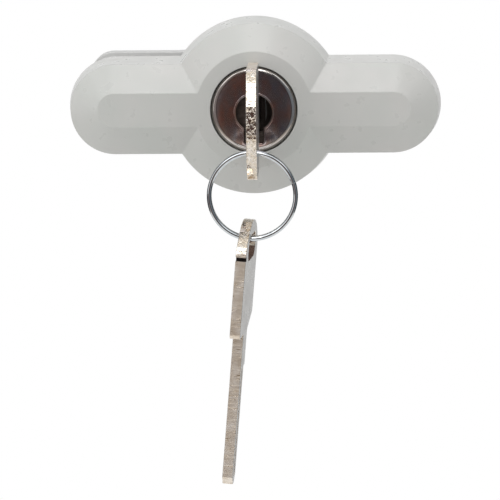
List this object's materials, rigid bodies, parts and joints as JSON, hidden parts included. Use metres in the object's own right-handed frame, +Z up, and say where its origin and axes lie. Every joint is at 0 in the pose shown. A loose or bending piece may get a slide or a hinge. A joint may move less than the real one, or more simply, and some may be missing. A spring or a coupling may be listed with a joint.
{
  "type": "cabinet wing handle lock",
  "caption": "Wing-shaped turning handle with a key cylinder, keys on a split ring, and a closing tongue behind the door, for an electrical cabinet.",
  "frame": {"origin": "on the lock axis, in the plane of the door's front face, where the gasket bears", "axes": "+X right along the wings seen from the front, +Y into the cabinet along the lock axis, +Z up"},
  "size_m": [0.089, 0.0864, 0.1065],
  "materials": {
    "light_grey_abs": "moulded, light grey, satin gloss",
    "light_grey_polyamide": "moulded, light grey",
    "black_polyamide": "glass-filled, moulded black",
    "sealing_rubber": "matt black",
    "acetal": "natural white",
    "bright_chrome": "polished chrome plate",
    "zinc_die_casting": "die-cast zinc, dull",
    "zinc_plated_steel": "bright zinc plate",
    "brass": "stamped, bare",
    "spring_steel": "drawn wire",
    "nickel_plated_brass": "nickel plate over milled brass",
    "ring_steel": "nickel-plated spring wire, blue-grey"
  },
  "bodies": {
    "base": {"mounting_base": "black_polyamide", "door_gasket": "sealing_rubber", "toothed_washer": "zinc_plated_steel", "mounting_nut": "black_polyamide"},
    "handle": {"wing_handle": "light_grey_abs", "spindle": "zinc_die_casting", "spindle_screws": "zinc_plated_steel", "spindle_o_ring": "sealing_rubber", "barrel_rim": "bright_chrome", "barrel_housing": "zinc_die_casting", "barrel_cross_pin": "zinc_plated_steel", "plug_retaining_pin": "zinc_plated_steel", "thrust_washer": "acetal", "closing_tongue": "light_grey_polyamide", "tongue_washer": "zinc_plated_steel", "tongue_spring_washer": "zinc_plated_steel", "tongue_screw": "zinc_plated_steel"},
    "plug": {"barrel_plug": "zinc_die_casting", "plug_cover": "bright_chrome", "wafer_spring_1": "spring_steel", "wafer_spring_2": "spring_steel", "wafer_spring_3": "spring_steel", "wafer_spring_4": "spring_steel", "wafer_spring_5": "spring_steel"},
    "bolt": {"locking_bolt": "zinc_plated_steel"},
    "key": {"inserted_key": "nickel_plated_brass"},
    "ring": {"key_ring": "ring_steel"},
    "spare": {"spare_key": "nickel_plated_brass"},
    "wafer_1": {"wafer_1": "brass"},
    "wafer_2": {"wafer_2": "brass"},
    "wafer_3": {"wafer_3": "brass"},
    "wafer_4": {"wafer_4": "brass"},
    "wafer_5": {"wafer_5": "brass"}
  },
  "joints": [
    {"name": "handle_turn", "type": "hinge", "parent": "base", "child": "handle", "pos_m": [0, 0, 0], "axis": [0, 1, 0], "range_deg": [0, 90]},
    {"name": "plug_turn", "type": "hinge", "parent": "handle", "child": "plug", "pos_m": [0, 0, 0], "axis": [0, 1, 0], "range_deg": [0, 90]},
    {"name": "bolt_slide", "type": "slide", "parent": "handle", "child": "bolt", "axis": [0, 0, 1], "range_m": [0, 0.0024]},
    {"name": "key_pull", "type": "slide", "parent": "plug", "child": "key", "axis": [0, -1, 0], "range_m": [0, 0.038]},
    {"name": "ring_swing", "type": "hinge", "parent": "key", "child": "ring", "pos_m": [0, -0.0386, -0.006], "axis": [1, 0, 0], "range_deg": [-80, 15]},
    {"name": "spare_key_swing", "type": "hinge", "parent": "ring", "child": "spare", "pos_m": [0, -0.03784, -0.0278], "axis": [1, 0, 0], "range_deg": [-20, 20]},
    {"name": "wafer_1_lift", "type": "slide", "parent": "plug", "child": "wafer_1", "axis": [0, 0, 1], "range_m": [0, 0.000801], "deforming": ["wafer_spring_1"]},
    {"name": "wafer_2_lift", "type": "slide", "parent": "plug", "child": "wafer_2", "axis": [0, 0, -1], "range_m": [0, 0.000801], "deforming": ["wafer_spring_2"]},
    {"name": "wafer_3_lift", "type": "slide", "parent": "plug", "child": "wafer_3", "axis": [0, 0, 1], "range_m": [0, 0.000801], "deforming": ["wafer_spring_3"]},
    {"name": "wafer_4_lift", "type": "slide", "parent": "plug", "child": "wafer_4", "axis": [0, 0, -1], "range_m": [0, 0.000801], "deforming": ["wafer_spring_4"]},
    {"name": "wafer_5_lift", "type": "slide", "parent": "plug", "child": "wafer_5", "axis": [0, 0, 1], "range_m": [0, 0.000801], "deforming": ["wafer_spring_5"]}
  ],
  "couplings": [
    {"joint": "bolt_slide", "follows": "plug_turn", "m_per_rad": 0.0015279},
    {"joint": "wafer_1_lift", "follows": "key_pull", "ratio": 0.021053},
    {"joint": "wafer_2_lift", "follows": "key_pull", "ratio": 0.021053},
    {"joint": "wafer_3_lift", "follows": "key_pull", "ratio": 0.021053},
    {"joint": "wafer_4_lift", "follows": "key_pull", "ratio": 0.021053},
    {"joint": "wafer_5_lift", "follows": "key_pull", "ratio": 0.021053}
  ]
}
